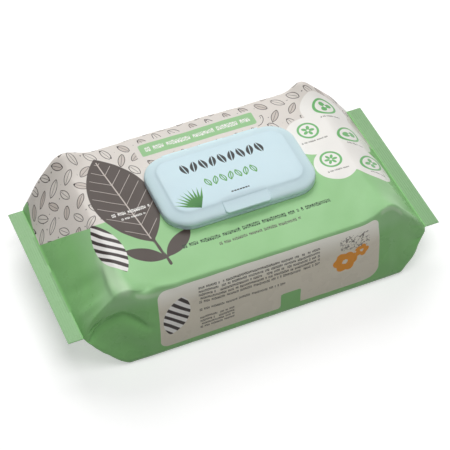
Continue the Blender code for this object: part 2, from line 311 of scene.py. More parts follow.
def rounded_path(corners):
    """Points along straight runs, with the corners cut to curves. A corner is (y, z, reach of the
    curve before and after it, its steps, steps along the straight run that follows)."""
    spots = [np.array(corner[:2], float) for corner in corners]
    entries, exits = [spots[0]], [spots[0]]
    for i in range(1, len(corners) - 1):
        neighbours = (spots[i - 1], spots[i + 1])
        for ends, other, reach in zip((entries, exits), neighbours, corners[i][2]):
            run = other - spots[i]
            length = np.linalg.norm(run)
            ends.append(spots[i] + run / length * min(reach, CURVE_LIMIT * length))
    entries.append(spots[-1])
    points = [spots[0]]
    for i in range(1, len(corners)):
        start, end, steps = exits[i - 1], entries[i], corners[i - 1][4]
        points += [start + (end - start) * k / steps for k in range(1, steps + 1)]
        bend = corners[i][3]
        for k in range(1, bend + 1):
            t = k / bend
            points.append((1 - t) ** 2 * entries[i] + 2 * t * (1 - t) * spots[i] + t * t * exits[i])
    return np.array(points)


def half_section(x, side):
    """(y, z) points down one side of the film at x, from the middle of its top to the middle of
    its underside."""
    at = film_lines(x, side)
    foot = at["foot_z"]
    trough = foot + at["trough"]
    fin_edge = FIN_WIDTH - FIN_ROOT if side > 0 else FIN_ROOT
    fin_z = trough - FIN_THICKNESS * at["trough"] / TROUGH_DEPTH
    path = rounded_path([
        (0, at["top_z"], (0, 0), 0, 36),
        (at["edge_y"] - SHOULDER, at["top_z"], (SHOULDER / 2, SHOULDER / 2), 14, 4),
        (at["edge_y"], at["edge_z"], EDGE_REACH if side > 0 else FRONT_REACH, 12, 6),
        (at["belly_y"], at["belly_z"], (BELLY_REACH, BELLY_REACH), 18, 4),
        (at["foot_y"], foot, (FOOT_REACH, FOOT_REACH), 10, 10),
        (TROUGH_HALF, foot, (0, 0), 1, 1),
        (TROUGH_HALF - TROUGH_DEPTH, trough, (0, 0), 1, 2),
        (fin_edge, trough, (0, 0), 1, 1),
        (fin_edge, fin_z, (0, 0), 1, 4),
        (0, fin_z, (0, 0), 0, 0),
    ])
    path[:, 0] *= side
    return path


def pouch_grid():
    """Points of the film, station by station along X and round each section, with the distance
    along the film from the middle of the pack (u) and from the middle of its top (v)."""
    left = LEFT_SEAL_X + np.linspace(0, END_SPAN, END_STEPS)
    right = RIGHT_SEAL_X - np.linspace(0, END_SPAN, END_STEPS)
    middle = np.linspace(left[-1], right[-1], MIDDLE_STEPS)[1:-1]
    flange = np.linspace(SEAL_FLANGE, 0, FLANGE_STEPS + 1)[:-1]
    stations = np.concatenate([
        LEFT_SEAL_X - flange, left, middle, right[::-1], RIGHT_SEAL_X + flange[::-1],
    ])
    grid, across = [], []
    for x in stations:
        inside = min(max(x, LEFT_SEAL_X), RIGHT_SEAL_X)
        rows, lengths = [], []
        for side in (1, -1):
            path = half_section(inside, side)
            steps = np.linalg.norm(np.diff(path, axis=0), axis=1)
            run = np.concatenate([[0], np.cumsum(steps)]) * side
            order = slice(None) if side > 0 else slice(-2, 0, -1)
            rows.append(path[order])
            lengths.append(run[order])
        section = np.concatenate(rows)
        grid.append(np.column_stack([np.full(len(section), x), section]))
        across.append(np.concatenate(lengths))
    grid, across = np.array(grid), np.array(across)
    steps = np.linalg.norm(np.diff(grid, axis=0), axis=2)
    along = np.concatenate([np.zeros((1, grid.shape[1])), np.cumsum(steps, axis=0)])
    middle = np.searchsorted(stations, 0)
    along += stations[middle] - along[middle]
    return grid, along, across


def grid_normals(grid):
    """Outward normals of the pouch's grid, whose rows close on themselves."""
    along = np.gradient(grid, axis=0)
    around = np.roll(grid, -1, axis=1) - np.roll(grid, 1, axis=1)
    normals = np.cross(along, around)
    normals /= np.maximum(np.linalg.norm(normals, axis=2, keepdims=True), 1e-9)
    centre = np.array([0, 0, SEAL_Z])
    if ((grid - centre) * normals).sum(axis=2).mean() < 0:
        normals = -normals
    return normals


def smooth(low, high, values):
    t = np.clip((values - low) / (high - low), 0, 1)
    return t * t * (3 - 2 * t)


# A crease is (u, v of its start, u, v of its end, depth, width): a soft ridge, or a dip where the
# depth is negative, that fades out at both ends.
CREASES = (
    (-113, -40, -86, -47, 0.9, 3.0), (-113, -22, -84, -30, -0.7, 4.0),
    (-113, 2, -90, -4, 0.4, 6.0), (-113, 30, -88, 36, 0.5, 4.0),
    (-77, -22, -79, -56, 1.0, 5.0), (-80, -26, -84, -58, 1.2, 1.8),
    (-76, -57, -62, -52, -1.6, 3.0), (-62, -52, -46, -58, 0.9, 2.6),
    (-50, -56, -20, -54, 0.4, 3.0), (-112, -52, -84, -70, -2.2, 2.2),
    (-90, -67, -64, -82, -2.3, 2.3), (-92, -77, -66, -92, 1.2, 6.0),
    (-40, -62, -30, -96, -0.4, 6.0), (-4, -60, 6, -98, 0.3, 7.0),
    (34, -62, 30, -96, -0.4, 6.0), (113, -43, 90, -50, -0.9, 2.6),
    (113, -30, 84, -38, 0.5, 4.0), (106, -54, 80, -58, 1.0, 2.2),
    (110, -57, 88, -72, -1.3, 2.6), (104, -70, 84, -92, 0.6, 6.0),
    (113, 30, 90, 36, 0.4, 4.5), (112, 60, 84, 74, -1.2, 3.0),
    (-112, 60, -80, 76, -1.2, 3.0), (-60, 58, -50, 92, -0.5, 6.0),
    (10, 60, 4, 98, 0.4, 7.0), (52, 60, 58, 96, -0.5, 6.0),
)
CREASE_RISE = (-0.15, 0.25)  # shares of a crease's length between which it fades in
CREASE_FALL = (0.6, 1.15)  # and between which it fades out

# Farther than any shape of the print reaches
FAR = 50.0

# Folds with a painted highlight, and crease whitening, on their crests: their ends and width
HIGHLIGHT_CRESTS = (
    ((-79, -16), (-78, -58), 6.5),
    ((-76, -58), (-40, -58), 2.2),
    ((88, -57), (70, -57), 2.2),
)
CREST_FADE = 0.12  # share of a crest's length that each end of it fades over

# Where the film comes free to crease: distances from a seal and from the lid, and heights
SEAL_BLEND = (0.0, 7.0)
LID_BLEND = (1.0, 9.0)
GROUND_BLEND = (1.0, 12.0)


def crest_highlight_distance(u, v):
    """0 on the crests, 1 at the edge of the painted highlight along them."""
    nearest = np.full(u.shape, FAR)
    for (u0, v0), (u1, v1), width in HIGHLIGHT_CRESTS:
        length = math.hypot(u1 - u0, v1 - v0)
        along = ((u - u0) * (u1 - u0) + (v - v0) * (v1 - v0)) / length**2
        share = np.clip(along, CREST_FADE, 1 - CREST_FADE)
        away = np.hypot(u - u0 - share * (u1 - u0), v - v0 - share * (v1 - v0))
        nearest = np.minimum(nearest, away / width)
    return nearest


def crease_height(u, v):
    height = np.zeros_like(u)
    for u0, v0, u1, v1, depth, width in CREASES:
        run = np.array([u1 - u0, v1 - v0], float)
        length = np.linalg.norm(run)
        run /= length
        along = ((u - u0) * run[0] + (v - v0) * run[1]) / length
        aside = (u - u0) * run[1] - (v - v0) * run[0]
        fade = smooth(*CREASE_RISE, along) * (1 - smooth(*CREASE_FALL, along))
        height += depth * np.exp(-((aside / width) ** 2)) * fade
    return height


def wave_height(u, v):
    """Slow waves that keep the film from lying dead flat."""
    return (
        0.16 * np.sin(u * 0.16 + 1.3 * np.sin(v * 0.11))
        + 0.12 * np.sin(v * 0.23 + u * 0.07 + 0.8)
        + 0.07 * np.sin(u * 0.41 - v * 0.33 + 2.1)
    )


def drape(grid, u, v):
    """Moves the film's points along its normals into soft creases. Under the lid, on the seals
    and where the pack stands the film stays as it is."""
    x, y, z = grid[..., 0], grid[..., 1], grid[..., 2]
    free = smooth(*SEAL_BLEND, np.minimum(x - LEFT_SEAL_X, RIGHT_SEAL_X - x))
    lid_gap = np.maximum(
        np.abs(x - LID_CENTRE[0]) - LID_LENGTH / 2,
        np.abs(y - LID_CENTRE[1]) - LID_WIDTH / 2,
    )
    free = free * np.where(z > SEAL_Z, smooth(*LID_BLEND, lid_gap), 1.0)
    free = free * smooth(*GROUND_BLEND, z)
    height = (crease_height(u, v) + wave_height(u, v)) * free
    draped = grid + grid_normals(grid) * height[..., None]
    draped[..., 1] = np.clip(draped[..., 1], POUCH_LOW[1], POUCH_HIGH[1])
    return draped


# Shapes of the print, as signed distances in millimetres that are negative inside

def circle(u, v, centre, radius):
    return np.hypot(u - centre[0], v - centre[1]) - radius


def turned(u, v, centre, degrees):
    angle = math.radians(degrees)
    du, dv = u - centre[0], v - centre[1]
    return du * math.cos(angle) + dv * math.sin(angle), -du * math.sin(angle) + dv * math.cos(angle)


def slab(u, v, low, high, corner=0.0):
    """A rectangle with round corners between two corners."""
    mid = ((low[0] + high[0]) / 2, (low[1] + high[1]) / 2)
    over_u = np.abs(u - mid[0]) - (high[0] - low[0]) / 2 + corner
    over_v = np.abs(v - mid[1]) - (high[1] - low[1]) / 2 + corner
    outside = np.hypot(np.maximum(over_u, 0), np.maximum(over_v, 0))
    return outside + np.minimum(np.maximum(over_u, over_v), 0) - corner


def leaf(u, v, centre, length, width, degrees):
    """A pointed oval."""
    p, q = turned(u, v, centre, degrees)
    radius = (length**2 + width**2) / (4 * width)
    return np.hypot(p, np.abs(q) + radius - width / 2) - radius


def flower(u, v, centre, petals, reach, radius, heart):
    shapes = []
    for turn in np.arange(petals) * 2 * math.pi / petals:
        spot = (centre[0] + reach * math.cos(turn), centre[1] + reach * math.sin(turn))
        shapes.append(circle(u, v, spot, radius))
    return cut(join(*shapes), circle(u, v, centre, heart))


def join(*shapes):
    return np.minimum.reduce(shapes)


def cut(shape, *holes):
    return np.maximum.reduce([shape, *(-hole for hole in holes)])


# Slabs of the print, in u along the pack and v round it from the middle of its top: low corner,
# high corner and corner radius
PANEL = ((-61, -99.8), (69, -57.3), 5)
PANEL_NOTCH = ((9.6, -101.8), (21.6, -88.5), 1)
BANNER = ((-32, 37), (38, 46.4), 0.6)
SCRIBBLE = ((45, -71), (63, -61), 3)

# The cream field behind the lid, whose front edge slants back to the left of FIELD_TURN
SEAL_U = 111.4
FIELD_V, FIELD_BACK = -0.8, 92
FIELD_TURN, FIELD_END = -77, 52
FIELD_SLOPE, SLOPE_LENGTH = 0.577, 1.15
FIELD_SLABS = (((40, 22), (SEAL_U, 120)), ((76, 13), (SEAL_U, 30)))
PLAIN_RIGHT = ((76, -30), (120, 30))  # no scattered leaves here

# Pale discs under the badges: centre, radius and stretch along u
DISCS = (
    (62, 15.5, 15, 1), (65, -9.5, 12.2, 1), (88.5, -11, 14.2, 1.18),
    (81, 34, 13, 1.3), (76, 6, 11, 1), (89, 15, 14, 1.25),
)

# Round badges: centre, stretch and lean where the film slopes down to the seal, and petals
BADGES = (
    ((80.5, 35.8), 1.4, -0.15, 3),
    ((61.8, 20.1), 1.0, 0.0, 5),
    ((86.0, 12.7), 1.65, -0.3, 2),
    ((64.0, -5.5), 1.0, 0.0, 6),
    ((90.0, -10.5), 1.8, -0.35, 4),
)
BADGE_RADIUS = 6.4
BADGE_RING = 1.3

# Leaves: centre, length, width and degrees
MAIN_LEAF = ((-54, 11), 70, 34, 97)
SIDE_LEAVES = (((-57, -31), 24, 9, 147), ((-37.5, -29.5), 24, 9, 38))
STRIPED_LEAVES = (((-73.5, -19), 40, 15, 99), ((-51, -78), 27, 15, 72))
STALK_TURN = ((-48, -32), 97)
STALK = ((-11, -0.9), (11, 0.9), 0.8)

# Flowers: centre, petals, their reach and radius, and the radius of the hole
FLOWERS = (((48, -79), 6, 4.4, 2.9, 1.7), ((58, -74), 5, 2.6, 1.8, 1.1))

LEAF_PITCH, LEAF_ROW = 10.5, 9.0  # of the scattered leaves


def scattered_leaves(u, v):
    """Leaves strewn on a loose grid. Gives the distance to the nearest leaf, the distance across
    it, a number that stays the same over each leaf, and the distance to the nearest berry."""
    random = np.random.RandomState(7)
    nearest = np.full(u.shape, FAR)
    across = np.zeros_like(u)
    shade = np.zeros_like(u)
    berries = np.full(u.shape, FAR)
    for i, row in enumerate(np.arange(3, 96, LEAF_ROW)):
        odd = i % 2
        for column in np.arange(-118, 118, LEAF_PITCH):
            along = column + odd * LEAF_PITCH / 2 + random.uniform(-1, 1)
            centre = (along, row + random.uniform(-1, 1))
            degrees = 50 + odd * 75 + random.uniform(-18, 18)
            tint = random.uniform(0, 1)
            length, width = random.uniform(8.5, 10.5), random.uniform(3.4, 4.6)
            away = leaf(u, v, centre, length, width, degrees)
            closer = away < nearest
            nearest = np.where(closer, away, nearest)
            across = np.where(closer, turned(u, v, centre, degrees)[1], across)
            shade = np.where(closer, tint, shade)
            berry = (centre[0] + 5.75, centre[1] + random.uniform(-1.5, 1.5))
            berries = join(berries, circle(u, v, berry, 0.6))
    return nearest, across, shade, berries


def cream_fields(u, v):
    discs = join(*(np.hypot((u - at) / wide, v - up) - radius for at, up, radius, wide in DISCS))
    edge = FIELD_V + FIELD_SLOPE * np.maximum(FIELD_TURN - u, 0)
    slabs = [slab(u, v, *corners) for corners in FIELD_SLABS]
    cream = join(np.maximum((edge - v) / SLOPE_LENGTH, u - FIELD_END), *slabs, discs)
    cream = np.maximum(cream, np.maximum(np.abs(u) - SEAL_U, v - FIELD_BACK))
    banner = slab(u, v, *BANNER)
    plain = join(banner - 1.5, discs, slab(u, v, *PLAIN_RIGHT))
    nearest, across, shade, berries = scattered_leaves(u, v)
    return {
        "cream": cream, "discs": discs, "banner": banner, "across": across, "shade": shade,
        "lines": np.where(plain < 0, FAR, nearest), "berries": np.where(plain < 0, FAR, berries),
    }


def badge_fields(u, v):
    """Distance from the nearest badge's middle, and (along and across from it, its petals)."""
    spots = np.stack([
        np.stack([(u - at[0]) / wide, v - at[1] + lean * (u - at[0]), np.full(u.shape, petals)], -1)
        for at, wide, lean, petals in BADGES
    ])
    away = np.hypot(spots[..., 0], spots[..., 1])
    nearest = away.argmin(axis=0)
    spot = np.take_along_axis(spots, nearest[None, ..., None], 0)[0]
    return {"badge": away.min(axis=0), "badge_spot": spot}


def leaf_fields(u, v):
    """The larger leaves. Rib is (along the main leaf, across it, distance from its outline)."""
    stalk = slab(*turned(u, v, *STALK_TURN), *STALK)
    blade = leaf(u, v, *MAIN_LEAF)
    return {
        "dark": join(stalk, blade),
        "rib": np.stack([*turned(u, v, MAIN_LEAF[0], MAIN_LEAF[3]), blade], -1),
        "side_leaves": join(*(leaf(u, v, *shape) for shape in SIDE_LEAVES)),
        "striped": join(*(leaf(u, v, *shape) for shape in STRIPED_LEAVES)),
    }


def print_fields(u, v):
    return {
        **cream_fields(u, v), **badge_fields(u, v), **leaf_fields(u, v), **type_fields(u, v),
        "crest_highlight": crest_highlight_distance(u, v),
        "panel": cut(slab(u, v, *PANEL), slab(u, v, *PANEL_NOTCH)),
        "orange": join(*(flower(u, v, *shape) for shape in FLOWERS)),
        "scribble": slab(u, v, *SCRIBBLE),
    }


# Rows of greeked type: low corner, high corner, row pitch and tone
DARK, MID, LIGHT = 0.0, 1.0, 2.0
TYPE_BLOCKS = (
    ((-37, -35.6), (50, -31.6), 4.0, DARK),
    ((-18, -40.6), (30, -37.6), 3.0, MID),
    ((-29, 39.2), (35, 44.2), 5.0, LIGHT),
    ((-64, 0), (-42, 3.6), 3.6, LIGHT),
    ((-60, -3.6), (-46, -1.4), 2.2, LIGHT),
    ((-38, -75.5), (33, -62), 2.7, MID),
    ((-38, -81.2), (12, -78.6), 2.6, MID),
    ((-38, -94.4), (-18, -84.8), 2.4, MID),
    ((73, 26.4), (88, 28), 1.6, MID),
    ((54, 10.6), (70, 12.2), 1.6, MID),
    ((79, 3.2), (93, 4.8), 1.6, MID),
    ((58, -15.2), (71, -13.6), 1.6, MID),
    ((83, -20.2), (97, -18.6), 1.6, MID),
)

# Greeked letters, as shares of a letter's cell
LETTERS_PER_PITCH = 3.1
SPACE_CHANCE = 0.16
LETTER_HEIGHT = (0.22, 0.34)  # range of half its height
LETTER_WIDTH = 0.4  # half of it
HOLLOW = (0.16, 0.15)  # half its width and height
HOLLOW_RISE = (0.25, 0.75)


def type_fields(u, v):
    """For greeked type: the distance to the nearest block, and (distance along the row over its
    pitch, rows from the block's foot, tone)."""
    nearest = np.full(u.shape, FAR)
    spot = np.zeros((*u.shape, 3))
    for low, high, pitch, tone in TYPE_BLOCKS:
        away = slab(u, v, low, high)
        closer = away < nearest
        nearest = np.where(closer, away, nearest)
        tones = np.full(u.shape, tone)
        here = np.stack([(u - low[0]) / pitch, (v - low[1]) / pitch, tones], -1)
        spot = np.where(closer[..., None], here, spot)
    return {"type_block": nearest, "type_spot": spot}


# Shader nodes

class Shader:
    """A material's node tree, with short ways to add what the materials here are made of."""

    def __init__(self, name, **principled):
        self.material = bpy.data.materials.new(name)
        self.material.use_nodes = True
        self.tree = self.material.node_tree
        self.surface = self.tree.nodes["Principled BSDF"]
        self.finish(**principled)

    def add(self, kind, values=None, **settings):
        node = self.tree.nodes.new(kind)
        for key, value in settings.items():
            setattr(node, key, value)
        for key, value in (values or {}).items():
            self.feed(node.inputs[key], value)
        return node

    def feed(self, socket, value):
        if isinstance(value, bpy.types.NodeSocket):
            self.tree.links.new(value, socket)
        elif isinstance(value, tuple) and socket.type == "RGBA":
            socket.default_value = (*value, 1.0)
        else:
            socket.default_value = value

    def finish(self, **inputs):
        for key, value in inputs.items():
            socket = key.replace("_", " ").title().replace("Ior", "IOR")
            self.feed(self.surface.inputs[socket], value)
        return self.material

    def math(self, operation, first, second=0.0):
        values = {0: first, 1: second}
        return self.add("ShaderNodeMath", values, operation=operation).outputs[0]

    def times(self, first, second):
        return self.math("MULTIPLY", first, second)

    def minus(self, first, second):
        return self.math("SUBTRACT", first, second)

    def size(self, value):
        return self.math("ABSOLUTE", value)

    def fraction(self, value):
        return self.math("FRACT", value)

    def over(self, value, limit):
        return self.math("GREATER_THAN", value, limit)

    def read(self, name, output="Fac"):
        return self.add("ShaderNodeAttribute", attribute_name=name).outputs[output]

    def place(self):
        return self.add("ShaderNodeTexCoord").outputs["Object"]

    def split(self, vector):
        return self.add("ShaderNodeSeparateXYZ", {0: vector}).outputs

    def ramp(self, value, start, end, **settings):
        """0 to 1 as a value goes from start to end."""
        values = {"Value": value, "From Min": start, "From Max": end}
        return self.add("ShaderNodeMapRange", values, **settings).outputs["Result"]

    def between(self, value, low, high):
        """A 0 to 1 value stretched to low to high."""
        values = {"Value": value, "To Min": low, "To Max": high}
        return self.add("ShaderNodeMapRange", values).outputs["Result"]

    def inside(self, distance, grow=0.0, blur=0.12):
        """1 where a distance is under grow, 0 outside, with an edge as soft as blur."""
        return self.ramp(distance, grow + blur, grow - blur)

    def paint(self, under, colour, mask):
        """Colour over what is under, where the mask is 1."""
        mix = self.add("ShaderNodeMix", data_type="RGBA")
        self.feed(mix.inputs["Factor"], mask)
        self.feed(mix.inputs[6], under)
        self.feed(mix.inputs[7], colour)
        return mix.outputs[2]

    def noise(self, vector, scale, detail=2.0, roughness=0.5):
        values = {"Vector": vector, "Scale": scale, "Detail": detail, "Roughness": roughness}
        return self.add("ShaderNodeTexNoise", values).outputs["Fac"]

    def bump(self, height, distance, strength=1.0, under=None):
        values = {"Height": height, "Distance": distance, "Strength": strength}
        if under is not None:
            values["Normal"] = under
        return self.add("ShaderNodeBump", values).outputs["Normal"]

    def type_mask(self):
        """Mask of the greeked type, and its tone."""
        spot = self.split(self.read("type_spot", "Vector"))
        run = self.times(spot[0], LETTERS_PER_PITCH)
        corner = {0: self.math("FLOOR", run), 1: self.math("FLOOR", spot[1])}
        cell = {"Vector": self.add("ShaderNodeCombineXYZ", corner).outputs[0]}
        word = self.add("ShaderNodeTexWhiteNoise", cell, noise_dimensions="2D").outputs["Value"]
        cell["W"] = 3.0
        other = self.add("ShaderNodeTexWhiteNoise", cell, noise_dimensions="4D").outputs["Value"]
        aside = self.size(self.minus(self.fraction(run), 0.5))
        up = self.size(self.minus(self.fraction(spot[1]), 0.5))
        tall = self.inside(self.minus(up, self.between(word, *LETTER_HEIGHT)), 0.0, 0.04)
        wide = self.inside(aside, LETTER_WIDTH, 0.06)
        rise = self.size(self.minus(self.fraction(spot[1]), self.between(other, *HOLLOW_RISE)))
        hollow = self.math("MAXIMUM", self.minus(aside, HOLLOW[0]), self.minus(rise, HOLLOW[1]))
        stroke = self.times(wide, self.minus(1.0, self.inside(hollow, 0.0, 0.04)))
        block = self.inside(self.read("type_block"), 0.0, 0.05)
        word = self.times(self.over(word, SPACE_CHANCE), tall)
        return self.times(word, self.times(stroke, block)), spot[2]


# Heights for the painted shade down the sides and at the foot, and painted light on the front panel
SIDE_HEIGHTS = ((PACK_TOP - 4) * MM, (PACK_TOP - 12) * MM)
FOOT_SHADOW_HEIGHTS = (5 * MM, 0.5 * MM)
PANEL_LIGHT_HEIGHTS = (35 * MM, 47 * MM)
FOOT_PAINTED_SHADOW = 0.55
MOTTLE_SHADE = 0.9
CREST_HIGHLIGHT_STRENGTH = 0.5
BANNER_SHADE = 0.92
# Painted shade on the seals, deeper on the right one where the body shades it, with the crimped
# film's own darker tone
SEAL_PAINTED_SHADES = (0.8, 0.7)  # of the left and the right seal
VEIN_PITCH = 8.5
FILM_ROUGHNESS = (0.4, 0.28)  # on the top and on the sides
UNEVENNESS = 0.06


def film_green(shader, place, height, side):
    # Painted shade: the film's green deepens down its sides
    green = shader.paint(FILM_GREEN, SHADED_SIDE_GREEN, side)
    # Painted contact shadow: the green darkens towards the foot, where the pack meets the floor
    low = shader.ramp(height, *FOOT_SHADOW_HEIGHTS)
    green = shader.paint(green, dimmed(SHADED_SIDE_GREEN, FOOT_PAINTED_SHADOW), low)
    # Painted highlight along the fold crests, which also stands for the film's crease whitening
    crest_highlight = shader.ramp(shader.read("crest_highlight"), 1.0, 0.1, interpolation_type="SMOOTHSTEP")
    green = shader.paint(green, CREST_HIGHLIGHT_GREEN, shader.times(crest_highlight, CREST_HIGHLIGHT_STRENGTH))
    mottle = shader.between(shader.noise(place, 35.0, 3.0), -0.3, 0.5)
    return shader.paint(green, dimmed(SHADED_SIDE_GREEN, MOTTLE_SHADE), mottle)


def cream_print(shader, colour):
    read, inside, paint, times = shader.read, shader.inside, shader.paint, shader.times
    cream = inside(read("cream"))
    colour = paint(colour, CREAM, cream)
    colour = paint(colour, PALE_CREAM, times(cream, inside(read("discs"))))
    lines = read("lines")
    tinted = times(times(cream, inside(lines)), shader.over(read("shade"), 0.55))
    colour = paint(colour, TAUPE, tinted)
    colour = paint(colour, INK, times(cream, inside(shader.size(lines), 0.2, 0.08)))
    vein = times(times(cream, inside(lines, -0.5)), inside(shader.size(read("across")), 0.12, 0.08))
    colour = paint(colour, INK, vein)
    return paint(colour, INK, times(cream, inside(read("berries"))))


def badge_print(shader, colour):
    inside, paint, times = shader.inside, shader.paint, shader.times
    spot = shader.split(shader.read("badge_spot", "Vector"))
    away = shader.math("SQRT", shader.math("ADD", times(spot[0], spot[0]), times(spot[1], spot[1])))
    turn = times(shader.math("ARCTAN2", spot[1], spot[0]), 0.5)
    petal = shader.size(shader.math("COSINE", times(turn, spot[2])))
    icon = inside(shader.minus(away, shader.between(petal, 0.9, 3.9)), 0.0, 0.15)
    icon = times(icon, shader.minus(1.0, inside(away, 0.8)))
    badge = shader.read("badge")
    within = inside(badge, BADGE_RADIUS - BADGE_RING)
    colour = paint(colour, BADGE_GREEN, inside(badge, BADGE_RADIUS))
    colour = paint(colour, PALE_CREAM, within)
    return paint(colour, BADGE_GREEN, times(icon, within))


def leaf_print(shader, colour):
    inside, paint, times = shader.inside, shader.paint, shader.times
    colour = paint(colour, DARK_BROWN, inside(shader.read("side_leaves")))
    colour = paint(colour, DARK_BROWN, inside(shader.read("dark")))
    rib = shader.split(shader.read("rib", "Vector"))
    aside = shader.size(rib[1])
    veins = shader.fraction(times(shader.minus(rib[0], times(aside, 0.9)), 1 / VEIN_PITCH))
    vein = inside(shader.size(shader.minus(veins, 0.5)), 0.022, 0.015)
    vein = shader.math("MAXIMUM", vein, inside(aside, 0.32))
    return paint(colour, TAUPE, times(vein, inside(rib[2], -1.8)))


def panel_print(shader, colour, place, height):
    inside, paint = shader.inside, shader.paint
    # Painted light: the front panel's cream pales towards its upper edge, where more light falls
    high = shader.ramp(height, *PANEL_LIGHT_HEIGHTS)
    colour = paint(colour, paint(PANEL_CREAM, PANEL_PAINTED_LIGHT, high), inside(shader.read("panel")))
    wave = {"Vector": place, "Scale": 95.0, "Distortion": 3.0, "Detail": 1.0, "Detail Scale": 0.4}
    stripes = shader.add("ShaderNodeTexWave", wave, bands_direction="DIAGONAL").outputs["Fac"]
    stripes = paint(WHITE_INK, INK, inside(stripes, 0.45, 0.08))
    colour = paint(colour, stripes, inside(shader.read("striped")))
    colour = paint(colour, ORANGE, inside(shader.read("orange")))
    thread = shader.size(shader.minus(shader.noise(place, 420.0, 3.0), 0.5))
    thread = shader.times(inside(shader.read("scribble")), inside(thread, 0.03, 0.015))
    return paint(colour, GREY_INK, thread)


def film_material():
    shader = Shader("printed film", specular_ior_level=0.2)
    paint, over = shader.paint, shader.over
    place = shader.place()
    spot = shader.split(place)
    along, height = spot[0], spot[2]
    side = shader.ramp(height, *SIDE_HEIGHTS)
    colour = film_green(shader, place, height, side)
    colour = cream_print(shader, colour)
    colour = badge_print(shader, colour)
    banner = shader.inside(shader.read("banner"))
    colour = paint(colour, dimmed(FILM_GREEN, BANNER_SHADE), banner)
    colour = leaf_print(shader, colour)
    colour = panel_print(shader, colour, place, height)

    seal = over(shader.size(along), (RIGHT_SEAL_X + 0.6) * MM)
    # Painted shade on the seals, the right one darker
    left, right = (dimmed(FILM_GREEN, shade) for shade in SEAL_PAINTED_SHADES)
    colour = paint(colour, paint(left, right, over(along, 0.0)), seal)
    type_ink, tone = shader.type_mask()
    ink = paint(DEEP_GREEN, TYPE_GREY, over(tone, MID / 2))
    ink = paint(ink, WHITE_INK, over(tone, (MID + LIGHT) / 2))
    colour = paint(colour, ink, type_ink)

    uneven = shader.between(shader.noise(place, 90.0, 3.0), -UNEVENNESS, UNEVENNESS)
    roughness = shader.math("ADD", shader.between(side, *FILM_ROUGHNESS), uneven)
    normal = shader.bump(shader.noise(place, 55.0, 4.0, 0.55), 0.0012, 0.35)
    normal = shader.bump(shader.noise(place, 900.0, 2.0), 0.00004, 0.4, normal)
    crimp = shader.math("SINE", shader.times(along, 2 * math.pi / (CRIMP_PITCH * MM)))
    normal = shader.bump(shader.times(crimp, seal), 0.00003, 1.0, normal)
    return shader.finish(base_color=colour, roughness=roughness, normal=normal)


def window_offset(vert):
    """How far a vertex lies from the window's middle line, and where along it."""
    x, y = vert.co.x / MM - LID_CENTRE[0], vert.co.y / MM - LID_CENTRE[1]
    nearest = min(max(x, -WINDOW_STRAIGHT), WINDOW_STRAIGHT)
    return x - nearest, y, nearest


def cut_window(bm):
    """Opens the dispensing window, and draws its edge onto the true outline."""
    top = (PACK_TOP - 1) * MM
    over = [vert for vert in bm.verts if vert.co.z > top]
    inner = [vert for vert in over if math.hypot(*window_offset(vert)[:2]) < WINDOW_RADIUS]
    bmesh.ops.delete(bm, geom=inner, context="VERTS")
    for vert in bm.verts:
        if vert.is_boundary and vert.co.z > top:
            dx, dy, nearest = window_offset(vert)
            share = WINDOW_RADIUS / math.hypot(dx, dy)
            vert.co.x = (LID_CENTRE[0] + nearest + dx * share) * MM
            vert.co.y = (LID_CENTRE[1] + dy * share) * MM


def make_pouch():
    grid, u, v = pouch_grid()
    grid = drape(grid, u, v)
    fields = print_fields(u, v)
    fields = {key: values.reshape(-1, *values.shape[2:]) for key, values in fields.items()}
    faces = tube_faces(*grid.shape[:2])
    pouch = mesh_object("printed_pouch", grid.reshape(-1, 3), faces, fields, 50)
    face_outwards(pouch, cut_window)
    solid = pouch.modifiers.new("thickness", "SOLIDIFY")
    solid.thickness = FILM * MM
    solid.offset = -1
    graph = bpy.context.evaluated_depsgraph_get()
    mesh = bpy.data.meshes.new_from_object(pouch.evaluated_get(graph))
    pouch.modifiers.clear()
    pouch.data = mesh
    for vert in mesh.vertices:
        vert.co.z = max(vert.co.z, 0.0)
    mesh.materials.append(film_material())
    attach(pouch, "pack")
    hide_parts("pouch_film")


def plastic(name):
    """A shader for the lid's plastic, and its plain colour."""
    shader = Shader(
        name, specular_ior_level=0.2,
        subsurface_weight=0.25, subsurface_scale=0.003, subsurface_radius=(1.0, 1.0, 1.0),
    )
    place = shader.place()
    shader.finish(
        roughness=shader.between(shader.noise(place, 200.0), 0.26, 0.38),
        normal=shader.bump(shader.noise(place, 1500.0), 0.00003, 0.3),
    )
    return shader, shader.paint(PLASTIC_BLUE, PLASTIC_SHADE, shader.noise(place, 60.0, 2.0))


def base_material():
    shader, colour = plastic("pale blue plastic")
    return shader.finish(base_color=colour)


# Rows of leaves on the lid: start, foot, pitch, count, height, width and whether filled
DARK_ROW = (-20, 7.8, 5.6, 9, 8.6, 4.2, True)
GREEN_ROW = (-11, -5.0, 4.5, 7, 6.6, 3.4, False)
LEAF_LEAN = 1.6
LEAF_RIB = 0.28
LEAF_LINE = 0.35  # half the width of an outline

# The bar of small strokes: its middle, half its length and height, strokes to a millimetre
BAR = ((5.5, -13.0), (5.5, 0.45), 0.61)
BAR_GAP = 0.2

# The fan: its middle, the angle of a blade, the blades' middle and half their number
FAN_CENTRE = (-19.0, -17.5)
FAN_STEP = math.radians(10.5)
FAN_SPAN = (10.5, 4.5)
FAN_REACH = 15.0
FAN_TAPER = 0.1
PRINT_DEPTH = 0.6  # below the lid's highest point
# Painted light: the lid's sloping sides get a paler blue to lift their shading, coming in between
# these depths
LIT_SIDE_DEPTHS = (0.5, 2.5)  # between which the colour of the lid's side comes in


